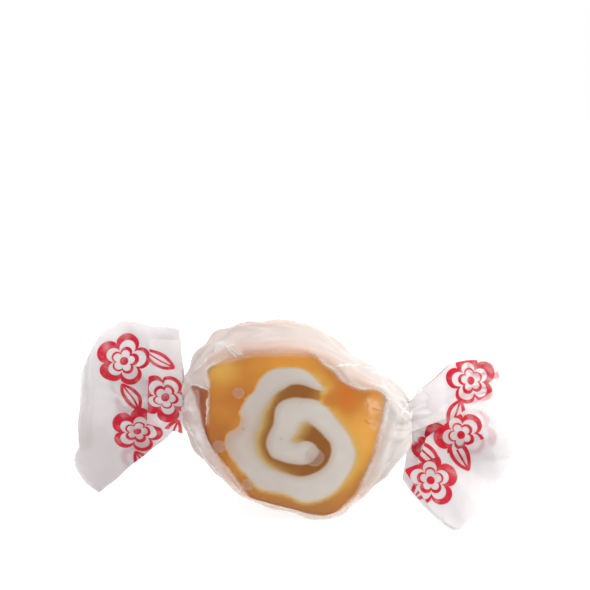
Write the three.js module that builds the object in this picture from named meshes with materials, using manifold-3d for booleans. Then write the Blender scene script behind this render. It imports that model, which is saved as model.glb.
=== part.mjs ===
import * as THREE from "three";
import { ParametricGeometry } from "three/addons/geometries/ParametricGeometry.js";
import { mergeVertices } from "three/addons/utils/BufferGeometryUtils.js";
import Module from "manifold-3d";

// A slug of swirled taffy in a twist of waxed paper, in millimetres.
// X runs along the twist, Y from the shown cut face through to the back one, and Z up.

// The slug is cut from a rope that was pressed out of round.
const SLUG_DEPTH = 13;
const EDGE_ROUND = 1.7;
const EDGE_STEPS = 4;
const SLUG_OUTLINE = [
  [3.8, 0.8], [7.3, 3.0], [9.6, 7.6], [11.3, 13.8], [10.5, 17.8], [6.6, 20.4], [2.4, 23.0],
  [-2.6, 23.8], [-8.6, 22.9], [-11.3, 20.2], [-11.7, 15.4], [-9.8, 8.6], [-6.2, 3.4], [-1.2, 1.1],
];
const OUTLINE_STEPS = 64;

// The white layer is rolled up from its loose end with a thinner caramel band inside it.
const ROLL_EDGE = [
  [3.8, 18.4], [2.5, 20.3], [-0.4, 21.4], [-3.2, 20.5], [-5.2, 17.9], [-8.4, 12.4], [-8.1, 9.2],
  [-5.2, 5.6], [1.4, 3.1], [5.2, 4.5], [7.5, 8.8], [7.0, 12.8], [3.9, 16.6],
];
const ROLL_STEPS = 60;
const BAND_PATH = [
  [6.4, 17.2], [3.7, 17.8], [0.8, 18.3], [-2.0, 16.8], [-3.2, 13.4], [-4.0, 10.8], [-2.5, 8.6],
  [0.9, 7.7], [3.5, 8.8], [4.0, 10.7], [2.7, 12.3], [0.5, 12.6],
];
const BAND_STEPS = 44;
const BAND_WIDTH = 1.5;
const EYE_START = 0.7;
const EYE_WIDTH = 2.7;
const EYE_BLUNTNESS = 22;
const EYE_END = 0.02;
const LAYER_CLEARANCE = 0.3;
const CUT_OVERRUN = 1;

// The paper is one sheet, rolled into a tube round the slug and twisted shut at both ends.
// Its wall stands in for waxed paper a few hundredths of a millimetre thick.
const PAPER_WALL = 0.3;
const PAPER_GAP = 0.4;
const BODY_SQUARENESS = 10;
const NECK_SQUARENESS = 2.2;
const NECK_HEIGHT = 6.4;
const NECK_DEPTH = 3.4;
const SHOULDER_START = 8.6;
const REST_SPAN = [-2.6, 4.6];
const PUFF_SCALE = 27 / 4;
const GATHER_START = 0.2;
const PLEAT_COUNT = 9;
const PLEAT_DEPTH = 0.12;
const PLEAT_TWIST = 1.6;
const NECK_FILL = 0.7;
const FILL_LENGTH = 0.3;
const FAN_THICKNESS = 1.7;
const FAN_MOUTH = 2.2;
const FAN_FLATNESS = 0.45;
const FAN_SPREAD = 0.4;
const FAN_RIPPLES = 3;
const FAN_RIPPLE_HEIGHT = 0.7;
const TIP_ANGLE = 45;

// Each fan opens about its neck between a low and a high angle, in degrees up from straight out.
// The puffs are how far the paper stands off a taut line between slug and neck, above and below.
// Each trim is a straight edge of the sheet: the angle that it faces, and its distance from the neck.
const LEFT_FAN = {
  side: -1, neck: [-14.3, 6.5, 14.1], puffs: [2.0, 0.4], lean: -6,
  low: -49, high: 88, reach: 13.7, tipReach: 18.3, trims: [[90, 10.3]],
};
const RIGHT_FAN = {
  side: 1, neck: [14.9, 6.5, 11.3], puffs: [0.2, 0.0], lean: 36,
  low: -98, high: 55, reach: 13.3, tipReach: 13.6, trims: [[90, 8.3], [-136, 6.3]],
};
const BODY_STATIONS = 20;
const FAN_STATIONS = 8;
const GIRTH_STEPS = 56;
const NORMAL_STEP = 1e-3;
const WELD_DISTANCE = 1e-4;

const wasm = await Module();
wasm.setup();

const { lerp, smoothstep, degToRad } = THREE.MathUtils;

function solidFrom(geometry) {
  geometry.deleteAttribute("normal");
  geometry.deleteAttribute("uv");
  const merged = mergeVertices(geometry, WELD_DISTANCE);
  const mesh = new wasm.Mesh({
    numProp: 3,
    vertProperties: new Float32Array(merged.attributes.position.array),
    triVerts: new Uint32Array(merged.index.array),
  });
  return new wasm.Manifold(mesh);
}

function geometryFrom(solid) {
  const mesh = solid.getMesh();
  const geometry = new THREE.BufferGeometry();
  geometry.setAttribute("position", new THREE.BufferAttribute(mesh.vertProperties, 3));
  geometry.setIndex(new THREE.BufferAttribute(mesh.triVerts, 1));
  geometry.computeVertexNormals();
  return geometry;
}

function smoothLoop(corners, steps) {
  const points = corners.map(([x, z]) => new THREE.Vector3(x, z, 0));
  return new THREE.CatmullRomCurve3(points, true).getSpacedPoints(steps).slice(0, steps);
}

// A counter-clockwise loop moved out along its own normals, or in where the distance is negative.
function offsetLoop(loop, distance) {
  return loop.map((point, i) => {
    const before = loop[(i + loop.length - 1) % loop.length];
    const after = loop[(i + 1) % loop.length];
    const along = after.clone().sub(before).normalize();
    return new THREE.Vector2(point.x + along.y * distance, point.y - along.x * distance);
  });
}

// A prism of an X-Z loop, standing from one Y to another.
function prism(loop, fromY, toY, bevel = {}) {
  const shape = new THREE.Shape(loop);
  const geometry = new THREE.ExtrudeGeometry(shape, { depth: toY - fromY, bevelEnabled: false, ...bevel });
  geometry.rotateX(Math.PI / 2);
  geometry.translate(0, toY, 0);
  return solidFrom(geometry);
}

const outline = smoothLoop(SLUG_OUTLINE, OUTLINE_STEPS);

function slug() {
  const bevel = {
    bevelEnabled: true, bevelThickness: EDGE_ROUND, bevelSize: EDGE_ROUND, bevelOffset: -EDGE_ROUND,
    bevelSegments: EDGE_STEPS,
  };
  return prism(outline, EDGE_ROUND, SLUG_DEPTH - EDGE_ROUND, bevel);
}

// The white roll, out to its edge, before the caramel band is taken out of it.
function roll(offset, overrun) {
  const edge = offsetLoop(smoothLoop(ROLL_EDGE, ROLL_STEPS), offset);
  return prism(edge, -overrun, SLUG_DEPTH + overrun);
}

// The band is a ribbon along its path: narrow from the mouth on, wider round the eye, with a round end.
function band(offset, overrun) {
  const points = BAND_PATH.map(([x, z]) => new THREE.Vector3(x, z, 0));
  const path = new THREE.CatmullRomCurve3(points);
  const left = [];
  const right = [];
  for (let i = 0; i <= BAND_STEPS; i += 1) {
    const part = i / BAND_STEPS;
    const point = path.getPointAt(part);
    const along = path.getTangentAt(part);
    const width = lerp(BAND_WIDTH, EYE_WIDTH, smoothstep(part, EYE_START, 1));
    const end = Math.sqrt(Math.min(1, (1 - part) * EYE_BLUNTNESS + EYE_END));
    const half = (width / 2) * end + offset;
    point.addScaledVector(along, offset * part);
    left.push(new THREE.Vector2(point.x - along.y * half, point.y + along.x * half));
    right.push(new THREE.Vector2(point.x + along.y * half, point.y - along.x * half));
  }
  return prism([...right, ...left.reverse()], -overrun, SLUG_DEPTH + overrun);
}

function whiteSwirl() {
  const half = LAYER_CLEARANCE / 2;
  return slug().intersect(roll(-half, CUT_OVERRUN)).subtract(band(half, 2 * CUT_OVERRUN));
}

function caramelTaffy() {
  const half = LAYER_CLEARANCE / 2;
  const pocket = roll(half, CUT_OVERRUN).subtract(band(-half, 2 * CUT_OVERRUN));
  return slug().subtract(pocket);
}

// The paper is drawn taut over the slug's outline, the tops and bottoms of the two necks,
// and the ends of the flat stretch that the sweet rests on.
const stand = PAPER_GAP + PAPER_WALL / 2;
const held = offsetLoop(outline, stand);
REST_SPAN.forEach((x) => held.push(new THREE.Vector2(x, PAPER_WALL / 2)));
[LEFT_FAN, RIGHT_FAN].forEach(({ neck: [x, , z] }) => {
  held.push(new THREE.Vector2(x, z + NECK_HEIGHT / 2), new THREE.Vector2(x, z - NECK_HEIGHT / 2));
});

// The lowest and highest straight line over what holds the paper, at one X.
function tautSpan(x) {
  let low = Infinity;
  let high = -Infinity;
  for (const from of held.filter((point) => point.x <= x)) {
    for (const to of held.filter((point) => point.x >= x)) {
      const part = to.x > from.x ? (x - from.x) / (to.x - from.x) : 0;
      const height = lerp(from.y, to.y, part);
      low = Math.min(low, height);
      high = Math.max(high, height);
    }
  }
  return [low, high];
}

// The paper tube's section at one X: square round the slug, drawn in to a small oval at the necks.
function bodySection(x) {
  const fan = x < 0 ? LEFT_FAN : RIGHT_FAN;
  const [neckX, neckY] = fan.neck;
  const [low, high] = tautSpan(THREE.MathUtils.clamp(x, LEFT_FAN.neck[0], RIGHT_FAN.neck[0]));
  const past = Math.max(0, (Math.abs(x) - SHOULDER_START) / (Math.abs(neckX) - SHOULDER_START));
  const full = Math.sqrt(Math.max(0, 1 - past ** 3));
  const puff = PUFF_SCALE * past * past * Math.max(0, 1 - past);
  const top = high + fan.puffs[0] * puff;
  const bottom = Math.max(PAPER_WALL / 2, low - fan.puffs[1] * puff);
  return {
    centreY: lerp(neckY, SLUG_DEPTH / 2, full),
    centreZ: (top + bottom) / 2,
    halfY: lerp(NECK_DEPTH / 2, SLUG_DEPTH / 2 + stand, full),
    halfZ: (top - bottom) / 2,
    square: lerp(NECK_SQUARENESS, BODY_SQUARENESS, full),
    gather: smoothstep(past, GATHER_START, 1),
  };
}

// How far a section's edge is in front of its centre and above it, a turn of 0 being straight ahead.
function sectionEdge(section, turn, twist) {
  const ahead = Math.cos(turn);
  const up = Math.sin(turn);
  const power = Math.abs(ahead) ** section.square + Math.abs(up) ** section.square;
  const pleat = 1 + PLEAT_DEPTH * section.gather * Math.cos(PLEAT_COUNT * turn + twist);
  const reach = pleat * power ** (-1 / section.square);
  return [section.halfY * ahead * reach, section.halfZ * up * reach];
}

function bodyPoint(along, turn) {
  const neckX = along < 0 ? -LEFT_FAN.neck[0] : RIGHT_FAN.neck[0];
  const x = neckX * Math.sin((along * Math.PI) / 2);
  const section = bodySection(x);
  const [ahead, up] = sectionEdge(section, turn, PLEAT_TWIST * along);
  return new THREE.Vector3(x, section.centreY - ahead, section.centreZ + up);
}

// How far a fan reaches at one angle: a round edge, longer at the low tip, with its straight trims.
function fanReach(fan, angle) {
  const tip = smoothstep(-angle, 0, degToRad(TIP_ANGLE));
  const round = lerp(fan.reach, fan.tipReach, tip);
  const trimmed = fan.trims.map(([facing, distance]) => {
    const towards = Math.cos(angle - degToRad(facing));
    return towards > 0 ? distance / towards : Infinity;
  });
  return Math.min(round, ...trimmed);
}

// One point of a fan: the tube past the neck, pressed flat and spread about the neck.
function fanPoint(fan, out, turn) {
  const neck = new THREE.Vector3(...fan.neck);
  const section = bodySection(neck.x);
  const [neckAhead, neckUp] = sectionEdge(section, turn, PLEAT_TWIST * fan.side);
  const spread = smoothstep(out, 0, FAN_SPREAD);
  const across = Math.asin(Math.sin(turn)) / (Math.PI / 2);
  const middle = degToRad((fan.low + fan.high) / 2);
  const half = degToRad((fan.high - fan.low) / 2);
  const angle = middle + half * across;
  const reach = out * fanReach(fan, angle);
  const layer = Math.sign(Math.cos(turn)) * Math.abs(Math.cos(turn)) ** FAN_FLATNESS;
  const thickness = lerp(FAN_THICKNESS, FAN_MOUTH, out);
  const ripple = FAN_RIPPLE_HEIGHT * out * Math.sin(FAN_RIPPLES * Math.PI * across);
  const neckRise = lerp(neckUp, (NECK_HEIGHT / 2) * across * (1 - out), spread);
  const rise = neckRise + reach * Math.sin(angle);
  const forward = lerp(neckAhead, (layer * thickness) / 2, spread) + ripple;
  const lean = degToRad(fan.lean) * spread;
  return new THREE.Vector3(
    neck.x + fan.side * reach * Math.cos(angle),
    neck.y + rise * Math.sin(lean) - forward * Math.cos(lean),
    neck.z + rise * Math.cos(lean) + forward * Math.sin(lean),
  );
}

// The middle of the sheet: along runs from -2 to 2, with the body between the necks at -1 and 1.
function sheetPoint(along, around) {
  const turn = around * 2 * Math.PI;
  if (along < -1) {
    return fanPoint(LEFT_FAN, -1 - along, turn);
  }
  if (along > 1) {
    return fanPoint(RIGHT_FAN, along - 1, turn);
  }
  return bodyPoint(along, turn);
}

function sheetNormal(along, around) {
  const length = sheetPoint(along + NORMAL_STEP, around).sub(sheetPoint(along - NORMAL_STEP, around));
  const girth = sheetPoint(along, around + NORMAL_STEP).sub(sheetPoint(along, around - NORMAL_STEP));
  return length.cross(girth).normalize();
}

function stationAlong(station) {
  if (station < FAN_STATIONS) {
    return -2 + station / FAN_STATIONS;
  }
  if (station > FAN_STATIONS + BODY_STATIONS) {
    return 1 + (station - FAN_STATIONS - BODY_STATIONS) / FAN_STATIONS;
  }
  return -1 + (2 * (station - FAN_STATIONS)) / BODY_STATIONS;
}

// The gathered paper fills most of each neck, so the inner wall closes in on the neck's middle there.
function innerPoint(along, around) {
  const point = sheetPoint(along, around).addScaledVector(sheetNormal(along, around), -PAPER_WALL / 2);
  const fan = along < 0 ? LEFT_FAN : RIGHT_FAN;
  const length = Math.abs(along) > 1 ? FAN_SPREAD : FILL_LENGTH;
  const fromNeck = Math.abs(Math.abs(along) - 1) / length;
  const fill = NECK_FILL * (1 - smoothstep(fromNeck, 0, 1));
  const core = new THREE.Vector3(point.x, fan.neck[1], fan.neck[2]);
  return point.lerp(core, fill);
}

// Both walls of the sheet in one closed loop: out along the outer wall and back along the inner one.
function wrapper() {
  const lastStation = 2 * FAN_STATIONS + BODY_STATIONS;
  const wallSteps = 2 * lastStation + 2;
  const wall = (u, v, target) => {
    const step = Math.round(u * wallSteps) % wallSteps;
    const outer = step <= lastStation;
    const along = stationAlong(outer ? step : wallSteps - 1 - step);
    const around = v % 1;
    if (outer) {
      target.copy(sheetPoint(along, around)).addScaledVector(sheetNormal(along, around), PAPER_WALL / 2);
    } else {
      target.copy(innerPoint(along, around));
    }
  };
  return solidFrom(new ParametricGeometry(wall, wallSteps, GIRTH_STEPS));
}

function piece(name, solid, colour, roughness) {
  const material = new THREE.MeshStandardMaterial({ color: colour, roughness, metalness: 0 });
  const mesh = new THREE.Mesh(geometryFrom(solid), material);
  mesh.name = name;
  return mesh;
}

const sweet = new THREE.Group();
sweet.add(
  piece("caramel_taffy", caramelTaffy(), "#c98a3a", 0.4),
  piece("white_swirl", whiteSwirl(), "#e6ded2", 0.5),
  piece("wrapper", wrapper(), "#f1e9e6", 0.35),
);

// The origin is under the middle of the whole sweet, on the surface that it rests on.
const box = new THREE.Box3().setFromObject(sweet, true);
const middle = box.getCenter(new THREE.Vector3());
sweet.position.set(-middle.x, -middle.y, -box.min.z);

const part = new THREE.Group();
part.add(sweet);

export default part;
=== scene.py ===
# %% [markdown]
# # A wrapped salt water taffy
#
# The sweet is a short slug cut from a rope of taffy. A white layer is rolled up inside the caramel one,
# so the cut face shows a swirl. One sheet of waxed paper goes round the slug and is twisted shut at both
# ends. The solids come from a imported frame, and this script makes the surface that the eye sees: the soft
# borders of the swirl, and paper that is nearly clear where it clings and milky where it stands off.

# %% Load the solids
import math

import bpy
import numpy as np
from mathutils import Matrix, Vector
from mathutils.kdtree import KDTree


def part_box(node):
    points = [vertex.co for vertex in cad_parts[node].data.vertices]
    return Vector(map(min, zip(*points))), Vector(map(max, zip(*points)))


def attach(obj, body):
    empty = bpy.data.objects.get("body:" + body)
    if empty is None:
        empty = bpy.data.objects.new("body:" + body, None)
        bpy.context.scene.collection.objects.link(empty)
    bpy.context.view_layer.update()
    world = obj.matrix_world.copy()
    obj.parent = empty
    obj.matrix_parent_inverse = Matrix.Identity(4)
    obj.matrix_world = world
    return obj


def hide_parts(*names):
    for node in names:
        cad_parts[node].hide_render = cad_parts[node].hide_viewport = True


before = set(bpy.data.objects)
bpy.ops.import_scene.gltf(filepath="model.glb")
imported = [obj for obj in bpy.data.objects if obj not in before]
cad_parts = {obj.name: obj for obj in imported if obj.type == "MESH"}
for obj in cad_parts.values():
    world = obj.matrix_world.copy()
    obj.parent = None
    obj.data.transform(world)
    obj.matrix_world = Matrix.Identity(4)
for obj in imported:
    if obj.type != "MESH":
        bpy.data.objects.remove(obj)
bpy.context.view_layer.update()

MM = 0.001

# %% [markdown]
# ## Where everything is
#
# The shapes below are drawn in millimetres, with the slug's front cut face at Y 0 and the floor at Z 0.5,
# which is where the paper under the slug touches down. The frame puts the whole sweet over its own origin,
# so one shift brings the drawing there. It is read off the caramel's box: its lowest Y is the front face,
# and its lowest X is the outline's.

# %% Curves through a few points
def spline(points, steps, closed):
    """Points at equal steps along a centripetal Catmull-Rom curve."""
    points = np.array(points, float)
    count = len(points)
    spans = count if closed else count - 1
    if closed:
        padded = np.concatenate([points[-1:], points, points[:2]])
    else:
        first, last = 2 * points[0] - points[1], 2 * points[-1] - points[-2]
        padded = np.concatenate([[first], points, [last]])
    fine = []
    for i in range(spans):
        p0, p1, p2, p3 = padded[i:i + 4]
        d0, d1, d2 = (np.linalg.norm(b - a) ** 0.5 for a, b in ((p0, p1), (p1, p2), (p2, p3)))
        out = ((p1 - p0) / d0 - (p2 - p0) / (d0 + d1) + (p2 - p1) / d1) * d1
        into = ((p2 - p1) / d1 - (p3 - p1) / (d1 + d2) + (p3 - p2) / d2) * d1
        t = np.linspace(0, 1, 60, endpoint=False)[:, None]
        bend = (-3 * p1 + 3 * p2 - 2 * out - into) * t ** 2 + (2 * p1 - 2 * p2 + out + into) * t ** 3
        fine.append(p1 + out * t + bend)
    fine = np.concatenate(fine + [points[:1] if closed else points[-1:]])
    length = np.concatenate([[0], np.cumsum(np.linalg.norm(np.diff(fine, axis=0), axis=1))])
    wanted = np.linspace(0, length[-1], steps + 1)
    even = np.stack([np.interp(wanted, length, fine[:, k]) for k in range(2)], axis=1)
    return even[:-1] if closed else even


def grown(loop, distance):
    """A counter-clockwise loop moved out along its own normals."""
    along = np.roll(loop, -1, axis=0) - np.roll(loop, 1, axis=0)
    along /= np.linalg.norm(along, axis=1)[:, None]
    return loop + distance * np.stack([along[:, 1], -along[:, 0]], axis=1)


def smoothstep(value, low, high):
    t = np.clip((value - low) / (high - low), 0, 1)
    return t * t * (3 - 2 * t)


# %% The slug's outline and the frame's shift
SLUG_DEPTH = 13.0
BACK_SETTLE, RIGHT_SETTLE = 0.6, 0.9
FLOOR = 0.5
SLUG_OUTLINE = [
    (3.8, 1.0), (7.3, 3.0), (9.5, 7.6), (11.0, 13.0), (11.5, 16.9), (10.5, 18.5), (8.2, 19.0),
    (5.0, 21.5), (2.2, 23.2), (-2.6, 23.8), (-8.6, 22.9), (-11.3, 20.2), (-11.7, 15.4), (-9.8, 8.6),
    (-6.3, 3.9), (-3.8, 2.9), (-0.6, 2.0),
]
outline = spline(SLUG_OUTLINE, 160, closed=True)
slug_low, slug_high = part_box("caramel_taffy")
SHIFT = np.array([slug_low.x / MM - outline[:, 0].min(), slug_low.y / MM, -FLOOR])


def settled(points):
    """The slug narrows away from the viewer, most at its upper right: lowers what is there."""
    x, y, z = np.moveaxis(np.asarray(points, float), -1, 0)
    drop = BACK_SETTLE + RIGHT_SETTLE * smoothstep(x, 2, 9)
    drop = drop * smoothstep(np.abs(x), 15, 12) * smoothstep(z, 10, 17) * np.clip(y / SLUG_DEPTH, 0, 1)
    return np.stack([x, y, z - drop], axis=-1)


def placed(points):
    """Drawing points in millimetres as places in the frame, in metres."""
    return (np.asarray(points, float) + SHIFT) * MM


print("shift in mm:", SHIFT.round(2), "slug", [round(v / MM, 1) for v in slug_high - slug_low])

# %% [markdown]
# ## Camera, floor and light
#
# The picture is taken from about ten centimetres away, with the camera above the sweet and tilted down by
# a little under fifteen degrees. The floor glows a little, like a light table. The surround is bright
# above, behind the sweet and low down all round, as in a light tent. It is dim only on the camera's side,
# so the cut face is lit softly from above. One large lamp at the upper right gives the paper its shading.

# %% Camera
LENS, SENSOR = 50.0, 36.0
CAMERA_PLACE = (0.0, -94.1, 54.7)
CAMERA_PITCH = 14.5

bpy.ops.object.select_all(action="DESELECT")
bpy.ops.object.camera_add(location=placed(CAMERA_PLACE), rotation=(math.radians(90 - CAMERA_PITCH), 0, 0))
camera = bpy.context.object
camera.data.lens = LENS
camera.data.sensor_width = SENSOR
camera.data.clip_start = 1 * MM
bpy.context.scene.camera = camera
print("camera at mm", [round(v / MM, 1) for v in camera.location])


# %% Shader maths as expressions
class Term:
    """A socket in a material. Sums and products of terms add their own Math nodes."""

    def __init__(self, finish, socket):
        self.finish, self.socket = finish, socket

    def maths(self, operation, *others):
        return self.finish.add("Math", {"operation": operation}, [self, *others])

    def __add__(self, other):
        return self.maths("ADD", other)

    def __sub__(self, other):
        return self.maths("SUBTRACT", other)

    def __rsub__(self, other):
        return self.finish.add("Math", {"operation": "SUBTRACT"}, [other, self])

    def __mul__(self, other):
        return self.maths("MULTIPLY", other)

    def __truediv__(self, other):
        return self.maths("DIVIDE", other)

    def __pow__(self, other):
        return self.maths("POWER", other)

    __radd__ = __add__
    __rmul__ = __mul__


class Finish:
    """One material or world and the nodes that it is made of."""

    def __init__(self, name, store=bpy.data.materials):
        self.made = store.new(name)
        self.made.use_nodes = True
        self.tree = self.made.node_tree
        self.tree.nodes.clear()

    def add(self, kind, settings, inputs, output=0):
        """A node by type, with its settings and the values or links of its sockets."""
        node = self.tree.nodes.new("ShaderNode" + kind)
        for name, value in settings.items():
            setattr(node, name, value)
        sockets = enumerate(inputs) if isinstance(inputs, list) else inputs.items()
        for key, value in sockets:
            if isinstance(value, Term):
                self.tree.links.new(value.socket, node.inputs[key])
            else:
                node.inputs[key].default_value = value
        return Term(self, node.outputs[output]) if len(node.outputs) else None

    def step(self, value, low, high, bottom=0.0, top=1.0):
        """Goes softly from bottom to top as the value goes from low to high."""
        return self.add("MapRange", {"interpolation_type": "SMOOTHSTEP"}, [value, low, high, bottom, top])

    def mix(self, part, first, second):
        return self.add("Mix", {"data_type": "RGBA"}, {0: part, 6: first, 7: second}, output=2)

    def attribute(self, name):
        return self.add("Attribute", {"attribute_name": name}, [], output=2)

    def noise(self, size, detail=3.0, roughness=0.5, place=None):
        """Cloudy noise whose blobs are about as large as the size, in millimetres."""
        inputs = {"Scale": 1 / (size * MM), "Detail": detail, "Roughness": roughness}
        inputs["Vector"] = place or self.add("TexCoord", {}, [], output=3)
        return self.add("TexNoise", {}, inputs)

    def place_parts(self):
        """X, Y and Z on the drawing, in millimetres."""
        place = self.add("TexCoord", {}, [], output=3)
        scaled = self.add("VectorMath", {"operation": "MULTIPLY"}, [place, (1 / MM,) * 3])
        return self.split(self.add("VectorMath", {"operation": "SUBTRACT"}, [scaled, tuple(SHIFT)]))

    def split(self, vector):
        """The X, Y and Z of a vector."""
        first = self.add("SeparateXYZ", {}, [vector])
        return [Term(self, socket) for socket in first.socket.node.outputs]

    def surface(self, inputs):
        shader = self.add("BsdfPrincipled", {}, inputs)
        self.add("OutputMaterial", {}, {"Surface": shader})
        return self.made


def tint(red, green, blue):
    """A colour given as it looks on a screen, from 0 to 255."""
    parts = [v / 255 for v in (red, green, blue)]
    return (*[v / 12.92 if v <= 0.04045 else ((v + 0.055) / 1.055) ** 2.4 for v in parts], 1.0)


# %% Floor and light
FLOOR_SIZE, FLOOR_GLOW = 2.0, 0.75
bpy.ops.mesh.primitive_plane_add(size=FLOOR_SIZE)
floor = bpy.context.object
floor.name = "floor"
ground = Finish("pale_floor")
ground_speckle = ground.step(ground.noise(9.0), 0.3, 0.7)
ground_colour = ground.mix(ground_speckle, tint(160, 160, 160), tint(164, 164, 164))
floor.data.materials.append(ground.surface({
    "Base Color": ground_colour, "Roughness": 0.7,
    "Emission Color": (1.0, 1.0, 1.0, 1.0), "Emission Strength": FLOOR_GLOW,
}))

tent = Finish("light_tent", bpy.data.worlds)
_, tent_y, tent_z = tent.split(tent.add("TexCoord", {}, []))
tent_glow = tent.step(tent_y, -0.9, 0.1).maths("MAXIMUM", tent.step(tent_z, 0.1, 0.9))
tent_glow = tent_glow.maths("MAXIMUM", tent.step(tent_z, 0.25, 0.05) * 0.6)
tent_colour = tent.mix(tent_glow, (0.04, 0.04, 0.04, 1.0), (1.0, 1.0, 1.0, 1.0))
tent_colour = tent.mix(tent.step(tent_z, 0.25, 0.8), tent_colour, (1.22, 1.21, 1.2, 1.0))
tent.add("OutputWorld", {}, {"Surface": tent.add("Background", {}, {"Color": tent_colour})})
bpy.context.scene.world = tent.made
bpy.context.scene.view_settings.view_transform = "Standard"


def lamp(name, place, aim, size, power, colour):
    """A square soft lamp at a place in millimetres, turned to its aim."""
    bpy.ops.object.light_add(type="AREA", location=placed(place))
    light = bpy.context.object
    light.name = name
    light.data.size = size * MM
    light.data.energy = power
    light.data.color = colour
    light.rotation_euler = Vector(np.subtract(aim, place)).to_track_quat("-Z", "Y").to_euler()


lamp("key_lamp", (120, -15, 112), (18, 4, 12), 90, 0.12, (1.0, 0.985, 0.965))

# %% [markdown]
# ## The taffy
#
# On the real sweet the rope is pulled and pressed, so its section is not quite round, and the white layer
# is rolled up from a loose end with a thin caramel band inside it. Each outline is a circle whose corners
# are moved onto a smooth curve, extruded through the slug's depth. Booleans then cut one from the other,
# as a cutter would. The faces are sliced into small cells so that the borders can carry colour.

# %% Bars of one outline
def bar(name, loop, front, back):
    """A prism of an X-Z loop between two Y, made by extruding a filled circle."""
    bpy.ops.object.select_all(action="DESELECT")
    bpy.ops.mesh.primitive_circle_add(vertices=len(loop), fill_type="NGON")
    piece = bpy.context.object
    piece.name = name
    corners = placed([(x, front, z) for x, z in loop])
    piece.data.vertices.foreach_set("co", corners.ravel())
    bpy.ops.object.mode_set(mode="EDIT")
    bpy.ops.mesh.select_all(action="SELECT")
    depth = (0, (back - front) * MM, 0)
    bpy.ops.mesh.extrude_region_move(TRANSFORM_OT_translate={"value": depth})
    bpy.ops.mesh.select_all(action="SELECT")
    bpy.ops.mesh.normals_make_consistent(inside=False)
    bpy.ops.object.mode_set(mode="OBJECT")
    return piece


def apply(piece, kind, **settings):
    """Adds a modifier, sets it and applies it."""
    bpy.ops.object.select_all(action="DESELECT")
    piece.select_set(True)
    bpy.context.view_layer.objects.active = piece
    modifier = piece.modifiers.new(kind.lower(), kind)
    for name, value in settings.items():
        setattr(modifier, name, value)
    bpy.ops.object.modifier_apply(modifier=modifier.name)


# %% The three outlines
EDGE_ROUND = 0.7
OVERRUN = 2.0
ROLL_EDGE = [
    (3.7, 18.4), (3.1, 19.3), (2.4, 20.1), (1.7, 20.7), (0.6, 21.2), (-0.8, 21.3), (-2.8, 21.0),
    (-4.3, 19.7), (-5.1, 18.1), (-5.9, 17.3), (-6.4, 16.3), (-6.8, 15.5), (-6.7, 14.7), (-6.8, 13.8),
    (-7.3, 13.2), (-8.2, 12.7), (-8.6, 12.0), (-8.7, 11.2), (-8.5, 10.4), (-8.0, 9.4), (-7.4, 8.6),
    (-6.9, 7.7), (-6.2, 7.1), (-5.7, 6.3), (-4.9, 5.3), (-4.2, 4.9), (-2.4, 4.5), (-1.5, 4.3),
    (-0.6, 3.9), (0.3, 3.4), (1.1, 3.1), (1.9, 3.1), (3.4, 3.5), (4.8, 4.3), (5.8, 5.3), (6.5, 6.4),
    (7.2, 7.7), (7.6, 8.9), (7.7, 10.1), (7.3, 11.3), (6.7, 12.6), (5.8, 13.8), (4.9, 15.0),
    (4.1, 16.0), (3.1, 16.9),
]
BAND_OUTER = [
    (6.0, 17.9), (4.6, 18.0), (3.3, 18.2), (2.3, 18.5), (1.3, 18.9), (0.4, 19.1), (-0.5, 19.0),
    (-1.3, 18.5), (-2.1, 18.0), (-2.7, 17.3), (-3.2, 16.5), (-3.7, 15.6), (-4.0, 14.6), (-4.2, 13.6),
    (-4.6, 12.6), (-4.8, 11.6), (-4.7, 10.7), (-4.4, 9.7), (-3.9, 8.9), (-3.1, 8.2), (-1.3, 7.3),
    (0.8, 6.8), (2.5, 7.3), (3.3, 7.8), (4.0, 8.6), (4.4, 9.6), (4.5, 10.5), (4.3, 11.4), (3.8, 12.0),
    (3.2, 12.7), (2.6, 13.3), (1.9, 13.8), (1.4, 14.0), (1.0, 13.8),
]
BAND_INNER = [
    (6.0, 16.2), (4.6, 16.5), (3.4, 16.8), (2.1, 17.2), (1.0, 17.3), (0.1, 17.4), (-1.3, 17.1),
    (-2.1, 16.5), (-2.5, 15.6), (-2.6, 14.8), (-2.7, 13.9), (-3.1, 13.0), (-3.5, 12.0), (-3.6, 11.1),
    (-3.4, 10.3), (-2.9, 9.4), (-2.1, 9.0), (-1.3, 8.7), (-0.4, 8.5), (0.4, 8.4), (1.2, 8.4),
    (1.8, 8.6), (2.3, 9.0), (2.8, 9.6), (3.0, 10.2), (2.8, 10.7), (2.3, 11.3), (1.6, 11.6), (0.8, 11.6),
    (0.2, 11.5), (-0.2, 11.7),
]
roll_edge = spline(ROLL_EDGE, 190, closed=True)
band_outer = spline(BAND_OUTER, 150, closed=False)
band_inner = spline(BAND_INNER, 150, closed=False)
band_edge = np.concatenate([band_inner, band_outer[::-1]])


def slug():
    piece = bar("slug", outline, 0.0, SLUG_DEPTH)
    apply(piece, "BEVEL", width=EDGE_ROUND * MM, segments=6,
          limit_method="ANGLE", angle_limit=math.radians(60))
    return piece


def taken(piece, tool, operation):
    """Cuts one piece by another, which is used up."""
    apply(piece, "BOOLEAN", operation=operation, object=tool, solver="EXACT")
    bpy.data.objects.remove(tool)


white = slug()
white.name = "white_layer"
taken(white, bar("roll", roll_edge, -OVERRUN, SLUG_DEPTH + OVERRUN), "INTERSECT")
taken(white, bar("band", band_edge, -2 * OVERRUN, SLUG_DEPTH + 2 * OVERRUN), "DIFFERENCE")

pocket = bar("pocket", roll_edge, -OVERRUN, SLUG_DEPTH + OVERRUN)
taken(pocket, bar("band", band_edge, -2 * OVERRUN, SLUG_DEPTH + 2 * OVERRUN), "DIFFERENCE")
caramel = slug()
caramel.name = "caramel_layer"
taken(caramel, pocket, "DIFFERENCE")
print("white faces", len(white.data.polygons), "caramel faces", len(caramel.data.polygons))

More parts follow.
